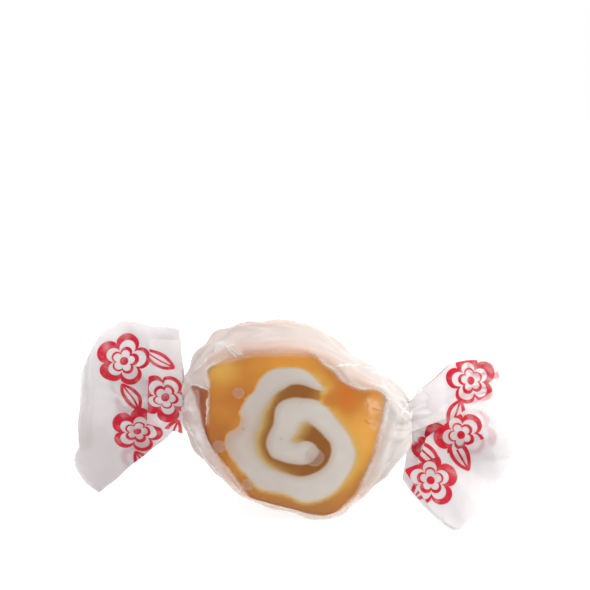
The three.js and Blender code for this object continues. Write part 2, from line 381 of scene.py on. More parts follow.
# %% Slice the faces into cells and press them a little uneven
CELL = 0.4
PRESS_HEIGHT, PRESS_SIZE = 0.22, 5.0
pressed = bpy.data.textures.new("pressed_taffy", "CLOUDS")
pressed.noise_scale = PRESS_SIZE * MM


def drawn(piece):
    """A piece's points on the drawing, in millimetres."""
    places = np.empty(len(piece.data.vertices) * 3)
    piece.data.vertices.foreach_get("co", places)
    return places.reshape(-1, 3) / MM - SHIFT


def sliced(piece):
    bpy.ops.object.select_all(action="DESELECT")
    piece.select_set(True)
    bpy.context.view_layer.objects.active = piece
    low, high = np.array(piece.bound_box[0]), np.array(piece.bound_box[6])
    bpy.ops.object.mode_set(mode="EDIT")
    bpy.ops.mesh.select_all(action="SELECT")
    bpy.ops.mesh.quads_convert_to_tris()
    for axis in (0, 2):
        normal = [0.0, 0.0, 0.0]
        normal[axis] = 1.0
        for place in np.arange(low[axis] + CELL * MM / 2, high[axis], CELL * MM):
            on_plane = [0.0, 0.0, 0.0]
            on_plane[axis] = place
            bpy.ops.mesh.select_all(action="SELECT")
            bpy.ops.mesh.bisect(plane_co=on_plane, plane_no=normal)
    bpy.ops.object.mode_set(mode="OBJECT")
    apply(piece, "DISPLACE", texture=pressed, strength=PRESS_HEIGHT * MM, mid_level=0.5,
          direction="Y", texture_coords="LOCAL")
    piece.data.vertices.foreach_set("co", placed(settled(drawn(piece))).ravel())
    bpy.ops.object.shade_smooth_by_angle(angle=math.radians(50))
    print(piece.name, "faces", len(piece.data.polygons))


sliced(white)
sliced(caramel)

# %% [markdown]
# ## Where the taffy's colour changes
#
# The layers of real taffy melt into each other, so their colours change near the border. Each point stores
# its distance to that border, whether it is on the rolled-in band, and how strong its fringe is: olive on
# the band's outer side and at its end, gold where a border faces the upper left. Two more numbers mark a
# pale patch at the right, and the right edge, which is painted lighter as painted light where the milky
# paper shades it.

# %% Distances on the cut face
def nearest(points, targets):
    """Distance to the nearest target, and which one it is, in X and Z."""
    tree = KDTree(len(targets))
    for i, (x, z) in enumerate(targets):
        tree.insert((x, 0, z), i)
    tree.balance()
    found = [tree.find((x, 0, z)) for x, z in points]
    return np.array([hit[2] for hit in found]), np.array([hit[1] for hit in found])


def inside(points, loop):
    """Whether each point is inside a loop, by counting the edges to its right."""
    x, z = points[:, 0], points[:, 1]
    odd = np.zeros(len(points), bool)
    for (x0, z0), (x1, z1) in zip(loop, np.roll(loop, -1, axis=0)):
        if z0 != z1:
            crosses = (z0 > z) != (z1 > z)
            odd ^= crosses & (x < x0 + (z - z0) * (x1 - x0) / (z1 - z0))
    return odd


def keep(piece, name, values):
    """Stores one number for each point of a piece, for its material to read."""
    store = piece.data.attributes.new(name, "FLOAT", "POINT")
    store.data.foreach_set("value", np.asarray(values, np.float32))


roll_fine = spline(ROLL_EDGE, 900, closed=True)
band_end = np.linspace(BAND_INNER[-1], BAND_OUTER[-1], 80)
band_fine = np.concatenate([spline(BAND_OUTER, 700, False), spline(BAND_INNER, 700, False), band_end])
roll_seam = roll_fine[~inside(roll_fine, band_edge)]
seam = np.concatenate([roll_seam, band_fine[inside(band_fine, roll_edge)]])
print("border points", len(seam))

# %% Store what the taffy's materials read
BORDER_LIMIT = 3.0
GOLD_SIDE = np.array([-0.7, 0.7])
PALE_PATCH = [
    (8.7, 17.2), (11.8, 17.2), (11.7, 15.5), (11.2, 13.6), (10.3, 13.0), (9.4, 13.3), (9.0, 15.0),
]
pale_edge = spline(PALE_PATCH, 200, closed=True)


def taffy_looks(piece):
    """The numbers at each point of a layer, by name."""
    points = drawn(piece)[:, [0, 2]]
    border, which = nearest(points, seam)
    towards = (seam[which] - points) / np.maximum(border, 0.05)[:, None]
    golden = smoothstep(towards @ GOLD_SIDE * (-1 if piece == white else 1), -0.6, 0.4)
    from_outer, step_in = nearest(points, band_outer)
    from_inner = nearest(points, band_inner)[0]
    step_in = step_in / (len(band_outer) - 1)
    rolled_in = inside(points, grown(roll_edge, -0.08)) * smoothstep(step_in, 0.04, 0.13)
    if piece == white:
        rolled_in *= which >= len(roll_seam)
    olive = smoothstep(from_outer / (from_outer + from_inner), 0.9, 0.1)
    olive *= smoothstep(step_in, 0.2, 0.32) * smoothstep(step_in, 0.72, 0.5)
    olive = np.maximum(olive, smoothstep(nearest(points, band_end)[0], 1.6, 0.1))
    pale = nearest(points, pale_edge)[0] * np.where(inside(points, pale_edge), 1, -1)
    # Painted light: the caramel's right edge is painted lighter, against the shade that the milky paper casts
    # on it.
    painted_light_edge = smoothstep(nearest(points, outline)[0], 0.8, 0.1) * smoothstep(points[:, 0], 5, 7)
    return {
        "border": np.minimum(border, BORDER_LIMIT), "rolled_in": rolled_in,
        "fringe": np.where(rolled_in > 0.5, olive, golden),
        "pale": smoothstep(pale, -0.3, 0.4), "painted_light_edge": painted_light_edge,
    }


for piece in (white, caramel):
    for name, values in taffy_looks(piece).items():
        keep(piece, name, values)
    print(piece.name, "stores", len(piece.data.vertices), "points")

# %% [markdown]
# ## What the taffy looks like
#
# Caramel taffy lets a little light in, so it is deeper where it is thick and goes yellow where white shows
# through near a border. The rolled-in band is browner. The white is a warm grey-white, thinner at the left,
# where it is also painted darker as painted shade, and painted lighter to the right as painted light. Both
# are mixed from soft noise, the stored numbers, a few broad patches and small specks, and three wrinkles
# cross the pale patch. Some of the caramel's patches are painted shade, darker at the bottom and the left,
# and one is painted light, lighter at the right; its right edge is painted lighter too.

# %% Marks that the finishes share
def patch(finish, x, z, centre, radius):
    """One inside a soft round patch on the drawing and nothing outside it."""
    reach = ((x - centre[0]) ** 2 + (z - centre[1]) ** 2) ** 0.5
    return finish.step(reach, radius, 0.15 * radius)


def stroke_line(finish, u, v, start, end, width):
    """One on an uneven stroke between two spots, thinning out to its ends."""
    run_u, run_v = end[0] - start[0], end[1] - start[1]
    waver = finish.noise(1.3, detail=4.0, roughness=0.6) - 0.5
    u, v = u + 1.3 * waver - start[0], v - 1.1 * waver - start[1]
    along = (u * run_u + v * run_v) / (run_u ** 2 + run_v ** 2)
    along = along.maths("MAXIMUM", 0.0).maths("MINIMUM", 1.0)
    off_u, off_v = u - along * run_u, v - along * run_v
    width = width * (0.3 + 2.8 * along * (1 - along))
    width = width * finish.step(finish.noise(0.7), 0.35, 0.6, 0.35, 1.0)
    return finish.step((off_u * off_u + off_v * off_v) ** 0.5, width, 0.0)


def specks(finish, spacing, wide, narrow):
    """One on small dots that are about as far apart as the spacing, in millimetres."""
    place = finish.add("TexCoord", {}, [], output=3)
    dots = finish.add("TexVoronoi", {}, {"Vector": place, "Scale": 1 / (spacing * MM)})
    return finish.step(dots, wide, narrow)


def meeting(finish):
    """The colour that the layers share where they touch."""
    fringe = finish.attribute("fringe")
    outer = finish.mix(fringe, tint(194, 148, 104), tint(206, 172, 104))
    inner = finish.mix(fringe, tint(162, 126, 96), tint(186, 158, 104))
    return finish.mix(finish.attribute("rolled_in"), outer, inner)


# %% Caramel finish
PATCH_WRINKLES = [((8.7, 17.6), (9.0, 15.6)), ((9.3, 16.1), (10.6, 15.6)), ((8.4, 14.4), (9.4, 13.8))]


def caramel_colour(finish, x, z, streaks):
    """Clouds, streaks and broad patches: painted shade at the bottom and left, painted light at the right."""
    clouds = finish.step(finish.noise(5.0, detail=4.0), 0.3, 0.7)
    colour = finish.mix(clouds, tint(188, 119, 34), tint(200, 134, 46))
    colour = finish.mix(streaks * 0.3, colour, tint(182, 112, 28))
    # Painted shade: darker and browner towards the bottom, most at the left.
    low = finish.step(z, 9.0, 3.5) * finish.step(x, 6.5, 3.0, 0.5, 0.9)
    colour = finish.mix(low, colour, tint(170, 110, 52))
    # Painted light: a broad lighter patch at the right, towards the lamp.
    colour = finish.mix(patch(finish, x, z, (9.4, 12.0), 6.0) * 0.9, colour, tint(232, 166, 70))
    colour = finish.mix(patch(finish, x, z, (-9.3, 21.4), 3.4) * 0.8, colour, tint(214, 166, 74))
    # Painted shade: two deeper, darker patches at the left, away from the lamp.
    colour = finish.mix(patch(finish, x, z, (-7.2, 17.0), 3.4) * 0.8, colour, tint(182, 105, 26))
    colour = finish.mix(patch(finish, x, z, (-9.6, 12.2), 4.2) * 0.85, colour, tint(168, 94, 26))
    colour = finish.mix(patch(finish, x, z, (-0.5, 22.6), 6.0) * 0.75, colour, tint(222, 148, 46))
    colour = finish.mix(patch(finish, x, z, (5.9, 17.4), 3.3), colour, tint(200, 108, 14))
    return finish.mix(patch(finish, x, z, (10.2, 18.2), 1.8), colour, tint(228, 142, 32))


def pale_patch(finish, x, z, colour):
    """Puts the wrinkled peach patch over a colour."""
    wrinkles = finish.step(finish.noise(1.7, detail=2.0), 0.38, 0.62)
    peach = finish.mix(wrinkles, tint(226, 156, 86), tint(238, 184, 128))
    colour = finish.mix(finish.attribute("pale") * 0.95, colour, peach)
    for start, end in PATCH_WRINKLES:
        wrinkle = stroke_line(finish, x, z, start, end, 0.4) * 0.55
        colour = finish.mix(wrinkle, colour, tint(190, 110, 48))
    return colour


def caramel_finish():
    finish = Finish("caramel_taffy_finish")
    x, _, z = finish.place_parts()
    border = finish.attribute("border")
    fringe = finish.attribute("fringe")
    streaks = finish.step(finish.noise(1.6, detail=3.0), 0.35, 0.65)
    colour = caramel_colour(finish, x, z, streaks)
    golden = finish.step(border, 1.7, 0.1) * fringe * finish.step(x, -6.0, 4.0, 0.1, 0.95)
    golden = golden * finish.step(z, 2.5, 8.0)
    colour = finish.mix(golden, colour, tint(214, 162, 66))
    colour = finish.mix(patch(finish, x, z, (4.6, 17.2), 1.9) * 0.9, colour, tint(189, 114, 38))
    colour = finish.mix(specks(finish, 2.4, 0.075, 0.02) * 0.4, colour, tint(232, 192, 124))
    colour = pale_patch(finish, x, z, colour)
    # Painted light: the right edge is painted lighter where the milky paper shades it.
    colour = finish.mix(finish.attribute("painted_light_edge") * 0.6, colour, tint(252, 206, 158))
    brown = finish.mix(fringe * 0.9, tint(136, 79, 4), tint(178, 142, 74))
    colour = finish.mix(finish.attribute("rolled_in"), colour, brown)
    colour = finish.mix(finish.step(border, 0.15 + 0.4 * fringe, 0.0) * 0.8, colour, meeting(finish))
    roughness = 0.34 + 0.14 * streaks
    bump = finish.add("Bump", {}, {"Strength": 0.25, "Distance": 0.08 * MM, "Height": finish.noise(0.9)})
    return finish.surface({
        "Base Color": colour, "Roughness": roughness, "Normal": bump, "Specular IOR Level": 0.2,
    })


# %% White finish
def white_finish():
    finish = Finish("white_taffy_finish")
    border = finish.attribute("border")
    x, _, z = finish.place_parts()
    clouds = finish.step(finish.noise(4.0, detail=4.0), 0.3, 0.7)
    # Painted light and shade: the white is painted lighter towards the right, where the lamp is, and darker
    # to the left.
    lit = 0.4 * clouds + 0.6 * finish.step(x, -5.0, 6.0)
    colour = finish.mix(lit, tint(189, 180, 172), tint(206, 198, 190))
    thinning = finish.step(border, 2.4, 0.0) * patch(finish, x, z, (-7.6, 12.6), 5.5)
    colour = finish.mix(thinning * 0.6, colour, tint(178, 138, 112))
    by_band = finish.step(border, 1.1, 0.0) * finish.attribute("rolled_in")
    colour = finish.mix(by_band * 0.5, colour, tint(172, 148, 124))
    softness = 0.2 + 0.3 * finish.attribute("fringe")
    colour = finish.mix(finish.step(border, softness, 0.0) * 0.85, colour, meeting(finish))
    colour = finish.mix(specks(finish, 4.2, 0.075, 0.03) * 0.6, colour, tint(160, 140, 112))
    roughness = 0.42 + 0.12 * clouds
    bump = finish.add("Bump", {}, {"Strength": 0.2, "Distance": 0.08 * MM, "Height": finish.noise(1.1)})
    return finish.surface({
        "Base Color": colour, "Roughness": roughness, "Normal": bump, "Specular IOR Level": 0.2,
    })


caramel.data.materials.append(caramel_finish())
white.data.materials.append(white_finish())
print("taffy finishes made")

# %% [markdown]
# ## The paper
#
# A real wrapper is one flat sheet. It is rolled round the slug so that two edges overlap at the back,
# gathered into a neck at each end and twisted, and what is past the necks opens into fans. Here a flat grid
# is that sheet: each of its points is carried to its place by the same steps, first the tube drawn taut
# over the slug and the necks, then the fans. Small folds are added along the sheet's normals, and Solidify
# gives it a paper's thickness at the end. A cloth simulation could also gather it, but it would not put the
# folds and fans where the picture has them.

# %% The tube round the slug
STAND = 0.35
BODY_SQUARENESS, NECK_SQUARENESS = 26.0, 2.2
NECK_HEIGHT, NECK_DEPTH = 5.0, 3.2
SHOULDER_START = 8.6
PUFF_SCALE = 27 / 4  # makes the puff's curve peak at 1
GATHER_START = 0.35
PLEAT_COUNT, PLEAT_DEPTH, PLEAT_TWIST = 9, 0.1, 1.6
FANS = {
    -1: {"neck": (-14.3, 6.5, 14.1), "hold": (-2.0, 2.5), "puff": 1.3, "lean": -6, "edge": [
        (-49, 18.5), (-46, 18.9), (-40, 18.8), (-34, 18.2), (-29, 17.6), (-26, 16.8), (-24, 15.7),
        (-16, 14.8), (-4, 14.0), (7, 13.9), (21, 13.8), (32, 13.9), (42, 14.2), (49, 14.0), (57, 13.1),
        (69, 11.5), (88, 10.6)]},
    1: {"neck": (14.9, 6.5, 11.3), "hold": (-1.1, 2.5), "puff": 0.2, "lean": 36, "edge": [
        (-100, 7.2), (-95, 7.8), (-85, 10.0), (-78, 12.1), (-72, 13.9), (-69, 14.9), (-65, 14.6),
        (-56, 14.3), (-45, 14.1), (-33, 13.7), (-26, 14.3), (-15, 14.0), (1, 13.5), (18, 14.0),
        (30, 14.6), (36, 14.2), (43, 12.2), (51, 10.2), (55, 9.2)]},
}
SAG = 0.3

held = [tuple(point) for point in grown(outline, STAND)]
for fan in FANS.values():
    held += [(fan["neck"][0], fan["neck"][2] + rise) for rise in fan["hold"]]
held = np.array(held)


def taut_span(x):
    """The lowest and highest straight line over what holds the paper, at one X."""
    before, after = held[held[:, 0] <= x], held[held[:, 0] >= x]
    run = after[None, :, 0] - before[:, None, 0]
    part = np.where(run > 0, (x - before[:, None, 0]) / np.where(run > 0, run, 1), 0)
    heights = before[:, None, 1] * (1 - part) + after[None, :, 1] * part
    return heights.min(), heights.max()


def section(x):
    """The tube at one X: square round the slug, drawn in to a small oval at the necks."""
    fan = FANS[-1 if x < 0 else 1]
    low, high = taut_span(min(max(x, FANS[-1]["neck"][0]), FANS[1]["neck"][0]))
    past = max(0, (abs(x) - SHOULDER_START) / (abs(fan["neck"][0]) - SHOULDER_START))
    full = math.sqrt(max(0, 1 - past ** 5))
    puff = PUFF_SCALE * past * past * max(0, 1 - past)
    sag = SAG * smoothstep(x, 3, 8) * smoothstep(x, 14, 10)
    top = high + fan["puff"] * puff - sag
    return {
        "centre": (fan["neck"][1] + (SLUG_DEPTH / 2 - fan["neck"][1]) * full, (top + low) / 2),
        "half": (NECK_DEPTH / 2 + (SLUG_DEPTH / 2 + STAND - NECK_DEPTH / 2) * full, (top - low) / 2),
        "square": NECK_SQUARENESS + (BODY_SQUARENESS - NECK_SQUARENESS) * full,
        "gather": float(smoothstep(past, GATHER_START, 1)),
    }


def fold(turns):
    """A folded wave between -1 and 1, with straight flanks and nearly sharp crests."""
    return np.arcsin(0.97 * np.sin(turns)) / math.asin(0.97)


def section_edge(cut, turn, twist):
    """How far a section's edge is ahead of its centre and above it."""
    ahead, up = np.cos(turn), np.sin(turn)
    power = np.abs(ahead) ** cut["square"] + np.abs(up) ** cut["square"]
    wander = 0.9 * np.sin(2 * turn + 0.7) + 0.5 * np.sin(5 * turn + 2.1)
    pleats = fold(PLEAT_COUNT * turn + twist + wander) + 0.45 * fold(21 * turn + 2 * twist)
    reach = power ** (-1 / cut["square"]) * (1 + PLEAT_DEPTH * cut["gather"] * pleats)
    return cut["half"][0] * ahead * reach, cut["half"][1] * up * reach


def body_row(along, turn):
    x = abs(FANS[-1 if along < 0 else 1]["neck"][0]) * math.sin(along * math.pi / 2)
    cut = section(x)
    ahead, up = section_edge(cut, turn, PLEAT_TWIST * along)
    return np.stack([np.full_like(turn, x), cut["centre"][0] - ahead, cut["centre"][1] + up], axis=1)


# %% The fans past the necks
FAN_THICKNESS, FAN_MOUTH = 1.1, 1.2
FAN_FLATNESS, FAN_SPREAD = 0.45, 0.4
FAN_RIPPLES, FAN_RIPPLE_HEIGHT = 3, 0.5


def fan_span(side):
    """The lowest angle of a fan, and how far it opens, in radians."""
    low, high = FANS[side]["edge"][0][0], FANS[side]["edge"][-1][0]
    return math.radians(low), math.radians(high - low)


def fan_reach(side, angle):
    """How far a fan's cut edge is from its neck at an angle."""
    angles, reaches = zip(*FANS[side]["edge"])
    return np.interp(np.degrees(angle), angles, reaches)


def leaned(side, out, rise, forward, spread=1.0):
    """A place on a fan: out from its neck, up its leaning plane, and forward of that plane."""
    neck = np.array(FANS[side]["neck"])
    lean = math.radians(FANS[side]["lean"]) * spread
    y = neck[1] + rise * math.sin(lean) - forward * math.cos(lean)
    z = neck[2] + rise * math.cos(lean) + forward * math.sin(lean)
    return np.stack([neck[0] + side * out, y, z], axis=-1)


def ripple(out, across):
    """How far a fan waves forward: broad ripples and sharper creases out from the neck."""
    creases = fold(7.0 * across + 0.8) * 0.4 + fold(17.0 * across + 2.0) * 0.14
    return out * (FAN_RIPPLE_HEIGHT * np.sin(FAN_RIPPLES * math.pi * across) + creases)


def fan_row(side, out, turn):
    fan = FANS[side]
    neck = section(fan["neck"][0])
    neck_ahead, neck_up = section_edge(neck, turn, PLEAT_TWIST * side)
    neck_up = neck_up + neck["centre"][1] - fan["neck"][2]
    spread = float(smoothstep(out, 0, FAN_SPREAD))
    across = np.arcsin(np.sin(turn)) / (math.pi / 2)
    low, opening = fan_span(side)
    angle = low + opening * (across + 1) / 2
    reach = out * fan_reach(side, angle)
    layer = np.sign(np.cos(turn)) * np.abs(np.cos(turn)) ** FAN_FLATNESS
    thickness = FAN_THICKNESS + (FAN_MOUTH - FAN_THICKNESS) * out
    neck_rise = neck_up + (NECK_HEIGHT / 2 * across * (1 - out) - neck_up) * spread
    forward = neck_ahead + (layer * thickness / 2 - neck_ahead) * spread + ripple(out, across)
    return leaned(side, reach * np.cos(angle), neck_rise + reach * np.sin(angle), forward, spread)


# %% [markdown]
# ## The sheet as a grid
#
# Columns run round the girth in equal steps of paper, so the front and back faces get more of them than the
# narrow top and bottom. They start and end at the back, where the last few lie over the first. Rows run
# from one fan's edge to the other's.

# %% Carry the flat grid to its place
BODY_ROWS, FAN_ROWS, GIRTH_COLUMNS = 140, 52, 176
SIDE_SHARES = (0.125, 0.15, 0.42, 0.18, 0.125)
OVERLAP, OVERLAP_LIFT = 0.07, 0.16


def girth_turn(girth):
    """The turn round the section at each share of the girth, in even steps along its flat sides."""
    shares = np.concatenate([[0], np.cumsum(SIDE_SHARES)])
    corner = np.interp(np.mod(girth + 0.5, 1), shares, (-4, -3, -1, 1, 3, 4))
    middle = 2 * np.round(corner / 2)
    return middle * math.pi / 4 + np.arctan(corner - middle)


girth = np.linspace(-0.5 - OVERLAP / 2, 0.5 + OVERLAP / 2, GIRTH_COLUMNS + 1)
turn = girth_turn(girth)
fan_steps = np.linspace(0, 1, FAN_ROWS + 1)
body_steps = np.linspace(-1, 1, BODY_ROWS + 1)
rows = [fan_row(-1, out, turn) for out in fan_steps[:0:-1]]
rows += [body_row(along, turn) for along in body_steps]
rows += [fan_row(1, out, turn) for out in fan_steps[1:]]
sheet = settled(rows)
along = np.concatenate([-1 - fan_steps[:0:-1], body_steps, 1 + fan_steps[1:]])
on_fan = np.repeat(smoothstep(np.abs(along), 0.97, 1.03)[:, None], len(turn), axis=1)
low, high = (edge(axis=(0, 1)).round(2) for edge in (sheet.min, sheet.max))
print("sheet grid", sheet.shape, "from", low, "to", high)

# %% [markdown]
# ## Clear and milky paper
#
# Waxed paper turns clear where it sticks to the taffy and stays milky where air is behind it. The edge of
# the clear part follows the slug's outline and is soft along the top. Paper near the edges and under the
# slug is less milky, and a window at the left shows the taffy's side; its brown is painted on the paper,
# the taffy's colour darkened as painted shade. Next to the lower right edge the paper takes on the
# caramel's warmth, and it is painted lighter there as painted light over the shade that the milky paper
# casts on the caramel.

# %% Where the paper clings
CLING_EDGE = [
    (-10.7, 21.2), (-10.8, 20.4), (-10.6, 19.1), (-10.7, 16.4), (-10.9, 13.9), (-11.4, 12.8),
    (-10.6, 11.1), (-9.4, 9.3), (-8.2, 7.7), (-6.9, 5.6), (-5.7, 3.8), (-4.2, 3.1), (-1.9, 2.4),
    (0.6, 1.8), (2.5, 1.4), (3.8, 1.3), (5.1, 1.7), (6.1, 2.7), (7.0, 3.7), (7.8, 4.6), (8.4, 6.3),
    (9.2, 8.2), (9.7, 9.7), (10.3, 11.7), (10.9, 14.4), (11.2, 16.5), (11.4, 17.3), (10.6, 18.3),
    (9.6, 18.7), (8.2, 18.7), (7.1, 19.1), (5.8, 19.9), (4.9, 21.0), (3.6, 21.9), (2.7, 22.9),
    (1.8, 23.3), (-1.2, 23.5), (-5.4, 23.4), (-6.9, 23.0), (-8.5, 22.5), (-9.7, 22.0),
]
TOP_SOFT, SIDE_SOFT = 1.1, 0.3
x, y, z = (sheet[:, :, k] for k in range(3))
flat = sheet[:, :, [0, 2]].reshape(-1, 2)


def deep(loop):
    """How far each sheet point is inside a loop, seen from the front; less than 0 outside."""
    sign = np.where(inside(flat, loop), 1, -1)
    return (nearest(flat, loop)[0] * sign).reshape(x.shape)


upper = smoothstep(z, 17, 20) * smoothstep(x, 3.5, 0.5) * smoothstep(x, -10.5, -7.5)
lower_right = smoothstep(x, 6, 8) * smoothstep(z, 15, 12)
edge_depth = deep(spline(CLING_EDGE, 700, closed=True))
cling_start = -0.1 - 0.5 * np.maximum(upper, lower_right)
cling = smoothstep(edge_depth, cling_start, SIDE_SOFT + (TOP_SOFT - SIDE_SOFT) * upper)
from_face = np.minimum(np.abs(y + STAND), np.abs(SLUG_DEPTH + STAND - y))
cling *= smoothstep(from_face, 1.1, 0.2) * (1 - on_fan)
front = y < SLUG_DEPTH / 2
print("share that clings", round(float((cling > 0.7).mean()), 3))

# %% How milky the rest is
WINDOW = [
    (-12.4, 19.0), (-10.3, 18.5), (-10.5, 16.2), (-10.7, 13.6), (-10.9, 12.2), (-11.3, 13.0),
    (-11.9, 15.6),
]
near_edge = smoothstep(from_face, 4.5, 0.0) * smoothstep(np.abs(x), 11.5, 8.5)
# The window is more see-through, and its paper is painted the brown of the taffy's side in shade, which is
# painted shade.
window = front * smoothstep(deep(spline(WINDOW, 200, True)), -0.1, 0.35)
underneath = smoothstep(z, 8, 4) * smoothstep(edge_depth, 0.0, -0.4) * smoothstep(np.abs(x), 9.5, 7.5)
slack = (1 - cling) * (1 - 0.25 * near_edge)
loose = np.clip(slack - 0.4 * window - 0.45 * underneath, 0, 1)
warm_top = 0.25 * smoothstep(from_face, 3.5, 0.0) * smoothstep(np.abs(x), 12.0, 9.0)
# Painted light: next to the lower right edge the paper is painted peach and lighter over the shade that the
# milky paper casts on the caramel; it also takes on the caramel's colour there.
warm_side_painted_light = 0.45 * lower_right * smoothstep(edge_depth, -1.8, -0.1) * front
warm = np.maximum(warm_top, warm_side_painted_light)
ragged = np.exp(-(edge_depth / 0.3) ** 2) * (from_face < 1.1) * (1 - on_fan) * (1 - 0.6 * upper)
print("mean milkiness", round(float(loose.mean()), 3))

# %% [markdown]
# ## Folds and creases
#
# Thin paper buckles into flat facets that meet in nearly sharp lines. A few seeded waves with straight
# flanks give the sheet such facets, fainter where it clings. Longer creases go where the picture has them:
# each is drawn on the plane of the cut face, as the camera sees it, and lifts the paper in line with it.

# %% Small folds along the sheet's own normals
FOLD_SEED = 11
FOLDS = 7
FOLD_HEIGHT = 0.13
draw = np.random.default_rng(FOLD_SEED)


def normals(grid):
    length, width = np.gradient(grid, axis=0), np.gradient(grid, axis=1)
    across = np.cross(length, width)
    return across / np.maximum(np.linalg.norm(across, axis=2), 1e-9)[:, :, None]


run = np.cumsum(np.linalg.norm(np.gradient(sheet, axis=0), axis=2), axis=0)
wide = np.cumsum(np.linalg.norm(np.gradient(sheet[len(sheet) // 2], axis=0), axis=1))[None, :]
print("flat sheet in mm:", round(run[-1].min()), "to", round(run[-1].max()), "by", round(wide[0, -1]))
crumple = np.zeros(on_fan.shape)
for i in range(FOLDS):
    direction = draw.uniform(0, math.pi)
    wave = draw.uniform(3.5, 9.0)
    swerve = 0.5 * np.sin(run / 4.3 + i) + 0.5 * np.sin(wide / 5.1 + 2 * i)
    line = (run * math.cos(direction) + wide * math.sin(direction)) / wave + 0.25 * swerve
    crumple += fold(2 * math.pi * line + draw.uniform(0, 6.3)) * FOLD_HEIGHT * wave / 9.0

# %% Creases where the picture has them
CREASE_STEPS = 60
CREASES = [
    (0.35, 0.5, [(11.6, 17.5), (11.1, 15.3), (10.6, 12.6), (9.8, 9.5), (8.6, 6.2), (7.1, 3.4)]),
    (0.5, 0.7, [(12.6, 17.0), (11.9, 13.9), (11.1, 10.6), (9.7, 6.8), (8.0, 3.7)]),
    (-0.4, 0.6, [(13.3, 16.6), (12.9, 13.9), (12.3, 11.3), (11.1, 8.6)]),
    (0.4, 0.6, [(12.8, 17.6), (10.9, 19.6), (9.3, 20.8), (7.6, 21.6), (5.4, 21.6)]),
    (0.25, 0.45, [(11.3, 18.0), (9.4, 19.1), (7.9, 19.1), (6.7, 20.1), (5.2, 21.7)]),
    (0.4, 0.7, [(-11.0, 24.9), (-12.0, 23.4), (-12.7, 21.4), (-13.0, 19.2)]),
    (0.35, 0.7, [(-10.0, 23.3), (-9.3, 23.9), (-8.4, 24.1), (-7.5, 23.8), (-6.3, 22.9)]),
    (0.15, 0.35, [(-12.1, 19.2), (-11.1, 18.7), (-10.5, 18.1), (-10.6, 17.0), (-10.7, 15.7),
                  (-10.9, 14.4)]),
    (-0.3, 0.5, [(-10.5, 22.8), (-12.3, 20.8)]),
    (0.2, 0.5, [(-12.3, 13.9), (-11.6, 10.6), (-10.2, 7.7), (-8.1, 4.9), (-5.9, 3.0)]),
    (0.2, 0.6, [(-12.8, 17.2), (-12.2, 13.5), (-10.9, 9.9)]),
]
facing = normals(sheet)
nearer = (-STAND - CAMERA_PLACE[1]) / (y - CAMERA_PLACE[1])
seen = np.stack([x * nearer, CAMERA_PLACE[2] + (z - CAMERA_PLACE[2]) * nearer], axis=2)
towards_camera = ((np.array(CAMERA_PLACE) - sheet) * facing).sum(axis=2) > 0
# Painted light: a pale, more opaque rim along the clear part's edge at the right and the upper left, painted
# over the shade that the milky paper casts on the caramel there.
rim_side = smoothstep(x, 1.5, 4) * smoothstep(z, 9, 12)
rim_side = np.maximum(rim_side, smoothstep(x, -8.5, -10) * smoothstep(z, 18.2, 19))
rim = np.exp(-((edge_depth - 0.06) / 0.24) ** 2) * front * (from_face < 0.8) * rim_side
creases_and_painted_light = 0.7 * rim
for rise, width, route in CREASES:
    far = np.full(on_fan.shape, 99.0)
    part = np.zeros(on_fan.shape)
    for i, spot in enumerate(spline(route, CREASE_STEPS, closed=False)):
        distance = np.linalg.norm(seen - spot, axis=2)
        part = np.where(distance < far, i / CREASE_STEPS, part)
        far = np.minimum(distance, far)
    ridge = np.clip(1 - far / width, 0, 1) * smoothstep(part, 0, 0.15) * smoothstep(part, 1, 0.85)
    uneven = 0.65 + 0.35 * np.sin(11 * part + 5 * rise + route[0][0])
    ridge *= towards_camera * (1 - on_fan) * uneven
    crumple += rise * ridge
    creases_and_painted_light = np.maximum(creases_and_painted_light, ridge ** 2)
print("creases", len(CREASES))

# %% Push the sheet in and out
DENT_LIMIT, CLING_DEPTH = 0.2, 0.08
SHEET_LIFT, LAYER_LIFT, PANEL_LIFT = 0.03, 0.12, 0.3


def on_floor(places, lift):
    """Slides what would be under the floor towards the camera, until it lies on the floor."""
    eye = np.array(CAMERA_PLACE)
    share = (eye[2] - FLOOR - lift) / (eye[2] - places[:, :, 2])
    return eye + (places - eye) * np.minimum(share, 1)[:, :, None]


seam_calm = 1 - smoothstep(np.abs(girth), 0.5 - OVERLAP, 0.5 - OVERLAP / 2)[None, :]
height = crumple * (0.1 + 0.9 * smoothstep(slack, 0.1, 0.6)) * (1 - 0.45 * on_fan) * seam_calm
overlap = smoothstep(girth, 0.5 - 0.7 * OVERLAP, 0.5 - 0.4 * OVERLAP)[None, :]
height += OVERLAP_LIFT * overlap * (1 - 0.6 * on_fan)
height = np.where(on_fan < 0.5, np.maximum(height, -DENT_LIMIT), height)
sheet = sheet + facing * height[:, :, None]
face_side = np.where(sheet[:, :, 1] < SLUG_DEPTH / 2, 1, -1)
sheet[:, :, 1] += CLING_DEPTH * face_side * smoothstep(slack, 0.6, 0.1)
sheet = on_floor(sheet, SHEET_LIFT + LAYER_LIFT * (np.cos(turn) >= 0))
print("folds up to mm", round(float(np.abs(height).max()), 2))

# %% [markdown]
# ## Panels of the fans
#
# Twisting leaves the fans folded over themselves. The left one has a flap lying on it beside the neck and a
# thin rim turned in along its outer edge. The right one has a plain fold at the neck and two printed panels,
# shingled down to its tip. Each is a small grid between corners on its fan's plane, lifted a little off the
# layer under it, so its edge is a real edge that casts a shadow.

